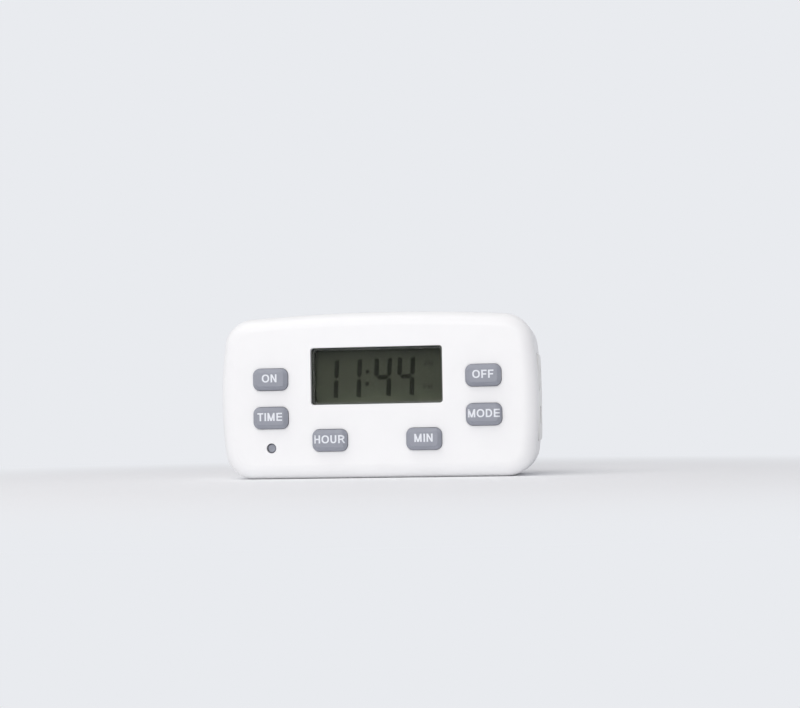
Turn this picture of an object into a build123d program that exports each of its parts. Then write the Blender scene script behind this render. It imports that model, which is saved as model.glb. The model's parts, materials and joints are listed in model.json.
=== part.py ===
from build123d import *
import os

# A plug-in digital timer: a rounded white box with a display and grey keys on its face,
# a grounded plug on its back and a grounded outlet at each end.
# Millimetres. X runs to the right seen from the front, Y from the face to the wall, Z up.
# The origin is the middle of the flat underside.

# Housing
body_width = 102.0
body_height = 53.0
body_depth = 36.0
front_depth = 16.0
wall = 2.0
corner_radius = 9.5
end_bulge = 2.4
top_rise = 2.0
front_rounding = 4.5
rear_rounding = 2.0
parting_bevel = 0.35
lip_depth = 1.6
lip_thickness = 0.9
lip_root = 1.5
part_fit = 0.15
screw_fit = 0.1

# Screw bosses that join the two covers
boss_inset_x = 9.5
boss_inset_z = 9.0
front_boss_radius = 2.9
rear_boss_radius = 4.2
counterbore_radius = 2.9
counterbore_depth = 10.0
housing_screw_radius = 1.3
housing_screw_reach = 10.0
housing_head_radius = 2.6
housing_head_height = 2.0
recess_width = 0.7
recess_span = 0.62

# Display
window_share = 0.415
window_height = 18.2
window_corner = 1.0
window_z = 32.6
lens_lap = 1.75
lens_thickness = 1.2
window_air = 2.2
rim_show = 0.7
rim_gap = 0.1
glass_lap_x = 1.0
glass_lap_z = 1.5
pane_thickness = 0.9
pane_ledge = 0.9
holder_wall = 1.8
holder_fit = 0.2
zebra_width = 2.0
zebra_height = 2.2
zebra_end_gap = 1.0
reflector_thickness = 0.4

# Keys
key_width = 11.2
key_height = 6.9
key_corner = 2.1
key_proud = 2.0
key_bevel = 1.1
key_bevel_depth = 1.2
key_softness = 0.3
key_fit = 0.15
key_travel = 1.0
key_lip = 1.0
key_lip_thickness = 1.0
key_lip_gap = 0.3
stem_width = 6.4
stem_height = 3.2
stem_corner = 1.2
pill_thickness = 0.5
pill_inset = 0.3
contact_gap = 0.2
side_key_place = 0.669
upper_key_z = 31.9
lower_key_z = 19.6
centre_key_place = 0.295
centre_key_z = 12.2

# Reset button in its pin hole
reset_place = -0.67
reset_z = 9.9
reset_hole_radius = 1.6
reset_fit = 0.25
reset_recess = 0.8
reset_crown = 0.35
reset_lip_radius = 2.5
reset_lip_thickness = 0.8
reset_stem_radius = 1.0
reset_travel = 0.6
reset_switch_width = 5.0
reset_switch_height = 1.4
reset_switch_corner = 0.6
reset_dome_radius = 1.6
reset_dome_height = 0.5
reset_contact_gap = 0.3

# Keypad mat that lies on the control board
mat_thickness = 0.8
mat_margin = 1.2
mat_corner = 1.5
mat_band_width = 4.0
collar_gap = 1.0
collar_wall = 1.2
collar_clearance = 0.3
collar_draft_angle = 6.0

# Control board
board_thickness = 1.6
board_side_gap = 2.0
board_inset_z = 5.5
board_corner = 1.0
board_notch_gap = 0.7
post_place = 0.53
post_inset_z = 8.0
post_radius = 2.4
board_screw_radius = 1.0
board_screw_reach = 4.4
board_head_radius = 2.0
board_head_height = 1.4
chip_place = -0.157
chip_z = 28.0
chip_radius = 5.0
chip_height = 1.6
crystal_place = -0.353
crystal_z = 15.0
crystal_radius = 1.5
crystal_length = 8.0
crystal_edge = 0.3
cell_place = 0.314
cell_z = 12.0
cell_radius = 5.8
cell_thickness = 5.0
cell_step = 0.9

# Outlets, one at each end
outlet_board_gap = 0.65
outlet_z = 31.0
blade_spacing = 12.7
ground_drop = 11.9
flange_wall_gap = 0.6
block_height = 28.0
block_corner = 6.0
block_thickness = 4.6
block_edge = 0.5
flange_lip = 1.0
flange_setback = 3.1
slot_width = 2.2
neutral_slot_height = 8.2
hot_slot_height = 6.9
ground_hole_radius = 3.0
tube_depth = 11.8
blade_tube_width = 6.0
blade_tube_height = 11.5
tube_wall = 0.9
ground_tube_radius = 4.6
rib_thickness = 1.4
rib_hold = 1.0
rib_length = 24.0

# Contact strips
strip = 0.8
bend_radius = 0.6
clip_gap = 1.3
clip_height = 7.0
clip_setback = 0.9
clip_flare = 0.45
clip_flare_length = 1.5
clip_overhang = 1.2
ground_clip_radius = 2.3
ground_clip_wall = 0.7
ground_clip_slit = 1.2
ground_clip_setback = 2.4
live_strip_gap = 3.2
ground_strip_gap = 1.0
neutral_bar_z = 38.0
neutral_bar_height = 5.0
switched_bar_z = 22.6
switched_bar_height = 3.4
ground_bar_z = 10.0
ground_bar_height = 4.0
ground_web_width = 5.2
ground_web_top = 2.3
riser_width = 3.6
leg_width = 6.0
relay_tab_height = 3.4

# Plug
plug_z = 33.0
blade_length = 17.6
blade_thickness = 1.5
blade_height = 6.35
blade_tip_rounding = 1.2
blade_tip_bevel = 0.45
blade_hole_radius = 1.6
blade_hole_inset = 5.0
foot_size = 7.0
foot_thickness = 1.0
rivet_radius = 1.2
rivet_head_radius = 2.0
rivet_head_height = 0.8
pin_radius = 2.38
pin_length = 21.0
pin_tip_rounding = 2.0
shoulder_radius = 3.3
pin_neck_radius = 1.5
pin_head_radius = 2.4

# Power board
power_board_share = 0.56
power_board_low_z = 15.5
power_board_high_z = 44.0
power_board_gap = 2.0
power_post_inset = 3.0
power_post_low_z = 19.0
power_post_high_z = 33.5
header_z = 18.0
header_pins = 6
header_pitch = 2.54
header_pin_width = 0.64
header_body = 2.5
film_place = -0.235
film_z = 37.0
film_length = 18.0
film_width = 7.0
film_board_gap = 2.9
film_edge = 0.8
can_place = -0.343
can_z = 24.0
can_radius = 5.0
can_board_gap = 3.9
can_edge = 0.6
can_groove_depth = 0.4
can_groove_width = 0.8
can_groove_lift = 1.8
varistor_place = -0.137
varistor_z = 26.2
varistor_radius = 4.0
varistor_thickness = 3.5
varistor_lift = 0.6
varistor_edge = 0.8
varistor_foot = 4.0
varistor_skirt = 1.8
diode_count = 4
diode_place = 0.206
diode_z = 21.0
diode_pitch = 3.2
diode_radius = 1.3
diode_length = 5.0
resistor_count = 3
resistor_place = -0.353
resistor_z = 42.5
resistor_pitch = 10.0
resistor_radius = 1.1
resistor_length = 6.3
resistor_waist = 0.2
resistor_waist_length = 3.2

# Relay
relay_place = 0.235
relay_z = 33.0
relay_length = 19.0
relay_width = 15.5
relay_board_gap = 0.8
relay_wall = 0.8
relay_base_thickness = 1.5
coil_side_gap = 0.2
core_radius = 2.2
core_fit = 0.1
bobbin_wall = 0.6
bobbin_rim = 0.2
bobbin_flange_thickness = 0.8
winding_radius = 4.3
winding_fit = 0.05
pole_radius = 3.4
pole_thickness = 0.7
yoke_thickness = 1.0
yoke_width = 9.0
yoke_side_gap = 0.5
armature_thickness = 0.8
armature_gap = 0.5
armature_reach = 10.7
knuckle_radius = 0.5
knuckle_fit = 0.1
spring_thickness = 0.25
spring_width = 4.0
spring_reach = 15.3
spring_root = 2.6
spring_head_gap = 0.55
button_radius = 1.2
button_height = 0.9
button_gap = 0.75
button_reach = 14.3
fixed_post_width = 3.0

# Levels along Y, from the face back to the wall
half_width = body_width / 2
front_y = -body_depth / 2
rear_y = body_depth / 2
parting_y = front_y + front_depth
inner_front_y = front_y + wall
inner_rear_y = rear_y - wall
lens_back_y = inner_front_y + lens_thickness
glass_front_y = lens_back_y + window_air
glass_back_y = glass_front_y + 2 * pane_thickness
board_front_y = glass_back_y + zebra_height
board_back_y = board_front_y + board_thickness
key_lip_y = inner_front_y + key_lip_gap
key_lip_back_y = key_lip_y + key_lip_thickness
pill_back_y = board_front_y - contact_gap - key_travel
pill_front_y = pill_back_y - pill_thickness
mat_front_y = board_front_y - mat_thickness
collar_front_y = key_lip_back_y + key_travel + collar_clearance
live_back_y = inner_rear_y - live_strip_gap
live_front_y = live_back_y - strip
live_y = live_back_y - strip / 2
ground_back_y = inner_rear_y - ground_strip_gap
ground_front_y = ground_back_y - strip
ground_y = ground_back_y - strip / 2
power_back_y = live_front_y - power_board_gap
power_front_y = power_back_y - board_thickness
foot_back_y = live_back_y + foot_thickness
outlet_y = board_back_y + outlet_board_gap + blade_tube_width / 2 + blade_spacing / 2
near_y = outlet_y - blade_spacing / 2
far_y = outlet_y + blade_spacing / 2
relay_base_y = power_front_y - relay_base_thickness
relay_top_y = board_back_y + relay_board_gap
hinge_y = relay_top_y + relay_wall + spring_head_gap + spring_thickness + armature_thickness / 2
pole_front_y = hinge_y + armature_thickness / 2 + armature_gap
pole_back_y = pole_front_y + pole_thickness
coil_foot_y = relay_base_y - yoke_thickness

# Sizes and places along X and Z that several pieces share
window_width = body_width * window_share
side_key_x = half_width * side_key_place
centre_key_x = half_width * centre_key_place
reset_x = half_width * reset_place
post_x = half_width * post_place
relay_x = half_width * relay_place
power_board_width = body_width * power_board_share
power_post_x = power_board_width / 2 - power_post_inset
block_width = 2 * (inner_rear_y - outlet_y - flange_lip - flange_wall_gap)
boss_x = half_width - boss_inset_x
boss_places = [(side * boss_x, z) for side in (-1, 1) for z in (boss_inset_z, body_height - boss_inset_z)]
post_places = [(side * post_x, z) for side in (-1, 1) for z in (post_inset_z, body_height - post_inset_z)]
power_post_heights = (power_post_low_z, power_post_high_z)
power_post_places = [(side * power_post_x, z) for side in (-1, 1) for z in power_post_heights]
key_places = {
    "on": (-side_key_x, upper_key_z),
    "off": (side_key_x, upper_key_z),
    "time": (-side_key_x, lower_key_z),
    "mode": (side_key_x, lower_key_z),
    "hour": (-centre_key_x, centre_key_z),
    "minute": (centre_key_x, centre_key_z),
}
block_inner_x = half_width - block_thickness
flange_outer_x = half_width - flange_setback
rib_outer_x = block_inner_x - part_fit
rib_inner_x = rib_outer_x - rib_thickness
tube_inner_x = block_inner_x - tube_depth
web_x = tube_inner_x - clip_overhang
clip_mouth_x = block_inner_x - clip_setback
ground_z = outlet_z - ground_drop
block_z = outlet_z - ground_drop / 2
ground_pin_z = plug_z - ground_drop
hinge_x = relay_x + relay_length / 2 - relay_wall - yoke_side_gap - yoke_thickness / 2
bobbin_flange = 2 * (winding_radius + bobbin_rim)
coil_x = hinge_x - yoke_thickness / 2 - coil_side_gap - bobbin_flange / 2


def rounded(width, height, radius):
    """A rounded rectangle."""
    return RectangleRounded(width, height, radius)


def slab(sketch, y_front, y_back, x=0.0, z=0.0):
    """A sketch seen from the front, given thickness from y_front to y_back."""
    plane = Plane(origin=(x, y_back, z), x_dir=(1, 0, 0), z_dir=(0, -1, 0))
    return extrude(plane * sketch, amount=y_back - y_front)


def side_slab(sketch, x_from, x_to, y=0.0, z=0.0):
    """A sketch seen from the right-hand end, given thickness from x_from to x_to."""
    plane = Plane(origin=(x_from, y, z), x_dir=(0, 1, 0), z_dir=(1, 0, 0))
    return extrude(plane * sketch, amount=x_to - x_from)


def level_slab(sketch, z_from, z_to):
    """A sketch seen from above, given height from z_from to z_to."""
    return extrude(Pos(0, 0, z_from) * sketch, amount=z_to - z_from)


def block(x_from, x_to, y_from, y_to, z_from, z_to):
    """A plain box between three pairs of levels."""
    size = Box(x_to - x_from, y_to - y_from, z_to - z_from)
    return Pos((x_from + x_to) / 2, (y_from + y_to) / 2, (z_from + z_to) / 2) * size


def front_edges(part):
    """The edges round a part's foremost face."""
    return part.faces().sort_by(Axis.Y)[0].edges()


def back_edges(part):
    """The edges round a part's rearmost face."""
    return part.faces().sort_by(Axis.Y)[-1].edges()


def bent_strip(points, z_from, z_to):
    """Sheet metal bent to a path seen from above, as wide as its height."""
    path = FilletPolyline(*points, radius=bend_radius)
    return level_slab(trace(path, line_width=strip), z_from, z_to)


def half_turn(part):
    """The same part turned half a turn about the outlets' upright middle line."""
    return Pos(0, outlet_y, 0) * Rot(0, 0, 180) * Pos(0, -outlet_y, 0) * part


def outline(inset=0.0):
    """The housing seen from the front: flat underside, arched top and bowed ends."""
    low = half_width - end_bulge
    shoulder = body_height - top_rise
    middle = shoulder / 2
    edges = [
        Line((-low, 0), (low, 0)),
        ThreePointArc((low, 0), (half_width, middle), (low, shoulder)),
        ThreePointArc((low, shoulder), (0, body_height), (-low, shoulder)),
        ThreePointArc((-low, shoulder), (-half_width, middle), (-low, 0)),
    ]
    face = make_face(edges)
    face = fillet(face.vertices(), corner_radius)
    return offset(face, -inset) if inset else face


def outlet_openings():
    """The two end openings that the outlet blocks show through."""
    cut_width = block_width + 2 * part_fit
    cut_height = block_height + 2 * part_fit
    sketch = rounded(cut_width, cut_height, block_corner + part_fit)
    right = side_slab(sketch, flange_outer_x - block_thickness, half_width + wall, outlet_y, block_z)
    return right + half_turn(right)


def flange_rib(y_from, y_to):
    """A rib behind the flange of each outlet block."""
    low = block_z - rib_length / 2
    high = block_z + rib_length / 2
    right = block(rib_inner_x, rib_outer_x, y_from, y_to, low, high)
    return right + mirror(right, about=Plane.YZ)


def tube_bosses(places, radius, y_front, y_back):
    """Round posts at the given places."""
    return Part() + [slab(Circle(radius), y_front, y_back, x, z) for x, z in places]


def front_cover():
    """The front half of the housing, with the window, key holes, bosses and board posts."""
    shell = slab(outline(), front_y, parting_y)
    shell = fillet(front_edges(shell), front_rounding)
    shell = chamfer(back_edges(shell), parting_bevel)
    hollow = slab(outline(wall), inner_front_y, parting_y)
    hollow = fillet(front_edges(hollow), front_rounding - wall)
    shell -= hollow
    shell -= slab(rounded(window_width, window_height, window_corner), front_y, inner_front_y, 0, window_z)
    hole = rounded(key_width + 2 * key_fit, key_height + 2 * key_fit, key_corner + key_fit)
    for x, z in key_places.values():
        shell -= slab(hole, front_y, inner_front_y, x, z)
    shell -= slab(Circle(reset_hole_radius), front_y, inner_front_y, reset_x, reset_z)
    flange_front_y = outlet_y - block_width / 2 - flange_lip
    shell += flange_rib(inner_front_y, flange_front_y + rib_hold)
    shell += tube_bosses(boss_places, front_boss_radius, inner_front_y, parting_y)
    shell += tube_bosses(post_places, post_radius, inner_front_y, board_front_y)
    screw_hole = housing_screw_radius + screw_fit
    shell -= tube_bosses(boss_places, screw_hole, parting_y - housing_screw_reach - screw_fit, parting_y)
    post_hole = board_screw_radius + screw_fit
    post_hole_y = board_front_y - board_screw_reach - screw_fit
    shell -= tube_bosses(post_places, post_hole, post_hole_y, board_front_y)
    return shell - outlet_openings()


def rear_cover():
    """The rear half of the housing, with its lip, bosses, blade slots and pin hole."""
    shell = slab(outline(), parting_y, rear_y)
    shell = fillet(back_edges(shell), rear_rounding)
    shell = chamfer(front_edges(shell), parting_bevel)
    shell -= slab(outline(wall), parting_y, inner_rear_y)
    lip_inset = wall + part_fit
    lip = slab(outline(lip_inset), parting_y - lip_depth, parting_y + lip_root)
    lip += slab(outline(wall), parting_y, parting_y + lip_root)
    lip -= slab(outline(lip_inset + lip_thickness), parting_y - lip_depth, parting_y + lip_root)
    shell += lip
    flange_back_y = outlet_y + block_width / 2 + flange_lip
    shell += flange_rib(flange_back_y - rib_hold, inner_rear_y)
    shell += tube_bosses(boss_places, rear_boss_radius, parting_y, inner_rear_y)
    shell -= tube_bosses(boss_places, counterbore_radius, rear_y - counterbore_depth, rear_y)
    shell -= tube_bosses(boss_places, housing_screw_radius + screw_fit, parting_y, rear_y)
    shell += tube_bosses(power_post_places, post_radius, power_back_y, inner_rear_y)
    post_hole = board_screw_radius + screw_fit
    post_hole_y = power_back_y + board_screw_reach + screw_fit
    shell -= tube_bosses(power_post_places, post_hole, power_back_y, post_hole_y)
    slot = Rectangle(blade_thickness + 2 * part_fit, blade_height + 2 * part_fit)
    for side in (-1, 1):
        shell -= slab(slot, inner_rear_y, rear_y, side * blade_spacing / 2, plug_z)
    shell -= slab(Circle(shoulder_radius + part_fit), inner_rear_y, rear_y, 0, ground_pin_z)
    cut = flange_clearance()
    return shell - outlet_openings() - cut - half_turn(cut)


def flange_clearance():
    """The room that the right-hand flange needs where it crosses the lip."""
    width = block_width + 2 * flange_lip + 2 * part_fit
    height = block_height + 2 * flange_lip + 2 * part_fit
    sketch = rounded(width, height, block_corner + flange_lip)
    return side_slab(sketch, rib_outer_x, flange_outer_x + part_fit, outlet_y, block_z)


def ground_hole():
    """The outlet's ground hole: round below, square above."""
    upper = Pos(0, ground_hole_radius / 2) * Rectangle(2 * ground_hole_radius, ground_hole_radius)
    return Circle(ground_hole_radius) + upper


def right_outlet_block():
    """The right-hand outlet: a flanged face with two slots, a ground hole and contact tubes."""
    face = rounded(block_width, block_height, block_corner)
    plate = side_slab(face, block_inner_x, half_width, outlet_y, block_z)
    plate = fillet(plate.faces().sort_by(Axis.X)[-1].edges(), block_edge)
    flange = rounded(block_width + 2 * flange_lip, block_height + 2 * flange_lip, block_corner + flange_lip)
    part = plate + side_slab(flange, block_inner_x, flange_outer_x, outlet_y, block_z)
    tube = Rectangle(blade_tube_width, blade_tube_height)
    bore = Rectangle(blade_tube_width - 2 * tube_wall, blade_tube_height - 2 * tube_wall)
    heights = {near_y: neutral_slot_height, far_y: hot_slot_height}
    for y, slot_height in heights.items():
        part += side_slab(tube - bore, tube_inner_x, block_inner_x, y, outlet_z)
        part -= side_slab(Rectangle(slot_width, slot_height), block_inner_x, half_width, y, outlet_z)
    ring = Circle(ground_tube_radius) - Circle(ground_tube_radius - tube_wall)
    part += side_slab(ring, tube_inner_x, block_inner_x, outlet_y, ground_z)
    return part - side_slab(ground_hole(), block_inner_x, half_width, outlet_y, ground_z)


def display_window():
    """The clear window bonded behind its opening."""
    sketch = rounded(window_width + 2 * lens_lap, window_height + 2 * lens_lap, window_corner)
    return slab(sketch, inner_front_y, lens_back_y, 0, window_z)


def glass_size():
    """Width and height of the display's rear pane."""
    return window_width + 2 * glass_lap_x, window_height + 2 * glass_lap_z


def lcd_glass():
    """The two panes of the display, the rear one with a contact ledge above and below."""
    width, height = glass_size()
    joint_y = glass_front_y + pane_thickness
    panes = slab(Rectangle(width, height - 2 * pane_ledge), glass_front_y, joint_y)
    panes += slab(Rectangle(width, height), joint_y, glass_back_y)
    return Pos(0, 0, window_z) * panes


def lcd_holder():
    """The dark frame that clasps the glass, with a rim that shows just inside the window."""
    width, height = glass_size()
    inside = Rectangle(width + 2 * holder_fit, height + 2 * holder_fit)
    grown = 2 * holder_fit + 2 * holder_wall
    outside = rounded(width + grown, height + grown, holder_wall)
    frame = slab(outside - inside, glass_front_y - rim_gap, board_front_y)
    opening = rounded(window_width - 2 * rim_show, window_height - 2 * rim_show, window_corner)
    frame += slab(outside - opening, lens_back_y + rim_gap, glass_front_y - rim_gap)
    return Pos(0, 0, window_z) * frame


def zebra_strips():
    """Two rubber connectors between the glass ledges and the board."""
    width, height = glass_size()
    strip_face = Rectangle(width - 2 * zebra_end_gap, zebra_width)
    reach = (height - zebra_width) / 2
    return Part() + [
        slab(strip_face, glass_back_y, board_front_y, 0, window_z + side * reach) for side in (-1, 1)
    ]


def lcd_reflector():
    """The reflective foil behind the glass, between the rubber connectors."""
    width, height = glass_size()
    foil = Rectangle(width - 2 * zebra_end_gap, height - 2 * zebra_width - 2 * holder_fit)
    return slab(foil, glass_back_y, glass_back_y + reflector_thickness, 0, window_z)


def key_cap(x, z):
    """A key: bevelled cap, retaining lip behind the wall, and a stem down to its pill."""
    cap = slab(rounded(key_width, key_height, key_corner), front_y - key_proud, key_lip_back_y)
    foremost = cap.faces().sort_by(Axis.Y)[0]
    cap = chamfer(foremost.edges(), key_bevel_depth, key_bevel, reference=foremost)
    cap = fillet(front_edges(cap), key_softness)
    lip = rounded(key_width + 2 * key_lip, key_height + 2 * key_lip, key_corner + key_lip)
    cap += slab(lip, key_lip_y, key_lip_back_y)
    cap += slab(rounded(stem_width, stem_height, stem_corner), key_lip_back_y, pill_front_y)
    return Pos(x, 0, z) * cap


def key_pill(x, z):
    """The conductive pill at the end of a key's stem."""
    width = stem_width - 2 * pill_inset
    height = stem_height - 2 * pill_inset
    return slab(rounded(width, height, stem_corner - pill_inset), pill_front_y, pill_back_y, x, z)


def reset_key():
    """The reset button, sunk in its pin hole."""
    radius = reset_hole_radius - reset_fit
    lip_back_y = key_lip_y + reset_lip_thickness
    nub = slab(Circle(radius), front_y + reset_recess, lip_back_y)
    nub = fillet(front_edges(nub), reset_crown)
    nub += slab(Circle(reset_lip_radius), key_lip_y, lip_back_y)
    stem_back_y = board_front_y - reset_switch_height - reset_contact_gap - reset_travel
    nub += slab(Circle(reset_stem_radius), lip_back_y, stem_back_y)
    return Pos(reset_x, 0, reset_z) * nub


def reset_switch():
    """The small dome switch on the board under the reset button."""
    top_y = board_front_y - reset_switch_height
    base = rounded(reset_switch_width, reset_switch_width, reset_switch_corner)
    part = slab(base, top_y + reset_dome_height, board_front_y)
    part += slab(Circle(reset_dome_radius), top_y, board_front_y)
    return Pos(reset_x, 0, reset_z) * part


def keypad_mat():
    """The rubber mat under the keys, with a collar round every stem."""
    pad_width = key_width + 2 * mat_margin
    pad_height = key_height + 2 * mat_margin
    pad = rounded(pad_width, pad_height, mat_corner)
    column_height = upper_key_z - lower_key_z + pad_height
    column = rounded(pad_width, column_height, mat_corner)
    band_z = centre_key_z + key_height / 2
    mat = slab(Rectangle(2 * side_key_x, mat_band_width), mat_front_y, board_front_y, 0, band_z)
    for side in (-1, 1):
        mat += slab(column, mat_front_y, board_front_y, side * side_key_x, (upper_key_z + lower_key_z) / 2)
        mat += slab(pad, mat_front_y, board_front_y, side * centre_key_x, centre_key_z)
    bore_width = stem_width + 2 * collar_gap
    bore_height = stem_height + 2 * collar_gap
    bore = rounded(bore_width, bore_height, stem_corner)
    base = rounded(bore_width + 2 * collar_wall, bore_height + 2 * collar_wall, stem_corner + collar_wall)
    for x, z in key_places.values():
        plane = Plane(origin=(x, mat_front_y, z), x_dir=(1, 0, 0), z_dir=(0, -1, 0))
        mat += extrude(plane * base, amount=mat_front_y - collar_front_y, taper=collar_draft_angle)
        mat -= slab(bore, collar_front_y, board_front_y, x, z)
    return mat


def control_board():
    """The board behind the face, notched round the four housing bosses."""
    half = rib_inner_x - board_side_gap
    face = rounded(2 * half, body_height - 2 * board_inset_z, board_corner)
    board = slab(face, board_front_y, board_back_y, 0, body_height / 2)
    notch_x = boss_x - front_boss_radius - board_notch_gap
    notch_low_z = boss_inset_z + front_boss_radius + board_notch_gap
    notch_high_z = body_height - notch_low_z
    for x_from, x_to in ((-half_width, -notch_x), (notch_x, half_width)):
        board -= block(x_from, x_to, board_front_y, board_back_y, 0, notch_low_z)
        board -= block(x_from, x_to, board_front_y, board_back_y, notch_high_z, body_height)
    return board - tube_bosses(post_places, board_screw_radius + screw_fit, board_front_y, board_back_y)


def controller_chip():
    """The dome of black resin over the controller."""
    sphere_radius = (chip_radius**2 + chip_height**2) / (2 * chip_height)
    centre_y = board_back_y + chip_height - sphere_radius
    ball = Pos(0, centre_y, 0) * Sphere(sphere_radius)
    keep = slab(Circle(chip_radius), board_back_y, board_back_y + chip_height)
    return Pos(half_width * chip_place, 0, chip_z) * (ball & keep)


def crystal():
    """The clock crystal, a small can that lies on the board."""
    can = Rot(0, 90, 0) * Cylinder(crystal_radius, crystal_length)
    can = chamfer(can.edges().filter_by(GeomType.CIRCLE), crystal_edge)
    return Pos(half_width * crystal_place, board_back_y + crystal_radius, crystal_z) * can


def backup_cell():
    """The button cell that keeps the clock going, stepped at its negative side."""
    step_y = board_back_y + cell_thickness - cell_step
    cell = slab(Circle(cell_radius), board_back_y, step_y)
    cell += slab(Circle(cell_radius - cell_step), step_y, board_back_y + cell_thickness)
    return Pos(half_width * cell_place, 0, cell_z) * cell


def board_header():
    """The row of pins that joins the two boards."""
    half = (header_pins - 1) * header_pitch / 2
    body_width_x = header_pins * header_pitch
    part = slab(Rectangle(body_width_x, header_body), power_front_y - header_body, power_front_y, 0, header_z)
    pin = Rectangle(header_pin_width, header_pin_width)
    for number in range(header_pins):
        part += slab(pin, board_back_y, power_front_y, number * header_pitch - half, header_z)
    return part


def power_board():
    """The board that carries the relay and the supply, on posts from the rear cover."""
    middle_z = (power_board_low_z + power_board_high_z) / 2
    height = power_board_high_z - power_board_low_z
    face = rounded(power_board_width, height, board_corner)
    board = slab(face, power_front_y, power_back_y, 0, middle_z)
    return board - tube_bosses(power_post_places, board_screw_radius + screw_fit, power_front_y, power_back_y)


def relay_base():
    """The relay's floor."""
    return slab(Rectangle(relay_length, relay_width), relay_base_y, power_front_y, relay_x, relay_z)


def relay_cover():
    """The relay's thin box."""
    outer = slab(Rectangle(relay_length, relay_width), relay_top_y, relay_base_y, relay_x, relay_z)
    inner = Rectangle(relay_length - 2 * relay_wall, relay_width - 2 * relay_wall)
    return outer - slab(inner, relay_top_y + relay_wall, relay_base_y, relay_x, relay_z)


def relay_bobbin():
    """The spool that carries the winding."""
    inner_radius = core_radius + core_fit
    flange = Rectangle(bobbin_flange, bobbin_flange)
    part = slab(Circle(inner_radius + bobbin_wall), pole_back_y, coil_foot_y)
    part += slab(flange, pole_back_y, pole_back_y + bobbin_flange_thickness)
    part += slab(flange, coil_foot_y - bobbin_flange_thickness, coil_foot_y)
    part -= slab(Circle(inner_radius), pole_back_y, coil_foot_y)
    return Pos(coil_x, 0, relay_z) * part


def relay_winding():
    """The copper winding between the spool's flanges."""
    inner_radius = core_radius + core_fit + bobbin_wall + winding_fit
    ring = Circle(winding_radius) - Circle(inner_radius)
    start_y = pole_back_y + bobbin_flange_thickness + winding_fit
    end_y = coil_foot_y - bobbin_flange_thickness - winding_fit
    return slab(ring, start_y, end_y, coil_x, relay_z)


def relay_core():
    """The iron core with its pole face."""
    core = slab(Circle(core_radius), pole_back_y, coil_foot_y, coil_x, relay_z)
    return core + slab(Circle(pole_radius), pole_front_y, pole_back_y, coil_x, relay_z)


def relay_yoke():
    """The iron frame: a foot under the coil and an upright that carries the armature."""
    foot_low_x = coil_x - winding_radius
    low_z = relay_z - yoke_width / 2
    high_z = relay_z + yoke_width / 2
    outer_x = hinge_x + yoke_thickness / 2
    foot = block(foot_low_x, outer_x, coil_foot_y, relay_base_y, low_z, high_z)
    upright_front_y = hinge_y + knuckle_radius + knuckle_fit
    upright = block(hinge_x - yoke_thickness / 2, outer_x, upright_front_y, relay_base_y, low_z, high_z)
    return foot + upright


def relay_armature():
    """The iron flap that the coil pulls in, with a round bead along its hinge line."""
    low_z = relay_z - yoke_width / 2
    high_z = relay_z + yoke_width / 2
    half = armature_thickness / 2
    plate = block(hinge_x - armature_reach, hinge_x, hinge_y - half, hinge_y + half, low_z, high_z)
    bead = Pos(hinge_x, hinge_y, relay_z) * Cylinder(knuckle_radius, yoke_width)
    return plate + bead


def contact_spring():
    """The leaf on the armature, with the moving contact at its end."""
    leaf_back_y = hinge_y - armature_thickness / 2
    leaf_front_y = leaf_back_y - spring_thickness
    low_z = relay_z - spring_width / 2
    high_z = relay_z + spring_width / 2
    leaf = block(hinge_x - spring_reach, hinge_x - spring_root, leaf_front_y, leaf_back_y, low_z, high_z)
    contact_x = hinge_x - button_reach
    return leaf + slab(Circle(button_radius), leaf_back_y, leaf_back_y + button_height, contact_x, relay_z)


def fixed_contact():
    """The contact that the moving one meets, on its post from the relay's floor."""
    contact_x = hinge_x - button_reach
    top_y = hinge_y - armature_thickness / 2 + button_height + button_gap
    button_back_y = top_y + button_height
    part = slab(Circle(button_radius), top_y, button_back_y, contact_x, relay_z)
    half = fixed_post_width / 2
    left_x = contact_x - half
    low_z = relay_z - half
    high_z = relay_z + half
    part += block(left_x, contact_x + half, button_back_y, button_back_y + strip, low_z, high_z)
    return part + block(left_x, left_x + strip, button_back_y, relay_base_y, low_z, high_z)


def film_capacitor():
    """The dropper capacitor, a soft-edged block."""
    part = slab(Rectangle(film_length, film_width), board_back_y + film_board_gap, power_front_y)
    edges = front_edges(part) + part.edges().filter_by(Axis.Y)
    return Pos(half_width * film_place, 0, film_z) * fillet(edges, film_edge)


def smoothing_capacitor():
    """The smoothing capacitor, a can with a rolled groove near its seal."""
    can = slab(Circle(can_radius), board_back_y + can_board_gap, power_front_y)
    can = chamfer(front_edges(can), can_edge)
    groove = Circle(can_radius) - Circle(can_radius - can_groove_depth)
    groove_back_y = power_front_y - can_groove_lift
    can -= slab(groove, groove_back_y - can_groove_width, groove_back_y)
    return Pos(half_width * can_place, 0, can_z) * can


def varistor():
    """The surge disc, standing on its edge."""
    disc_y = power_front_y - varistor_lift - varistor_radius
    disc = Pos(0, disc_y, 0) * Cylinder(varistor_radius, varistor_thickness)
    disc = chamfer(disc.edges().filter_by(GeomType.CIRCLE), varistor_edge)
    half_foot = varistor_foot / 2
    half_skirt = varistor_skirt / 2
    foot_y = power_front_y - varistor_radius
    foot = block(-half_foot, half_foot, foot_y, power_front_y, -half_skirt, half_skirt)
    return Pos(half_width * varistor_place, 0, varistor_z) * (disc + foot)


def diodes():
    """The rectifier diodes, side by side on the power board."""
    body = Cylinder(diode_radius, diode_length)
    places = [half_width * diode_place + number * diode_pitch for number in range(diode_count)]
    return Part() + [Pos(x, power_front_y - diode_radius, diode_z) * body for x in places]


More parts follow.
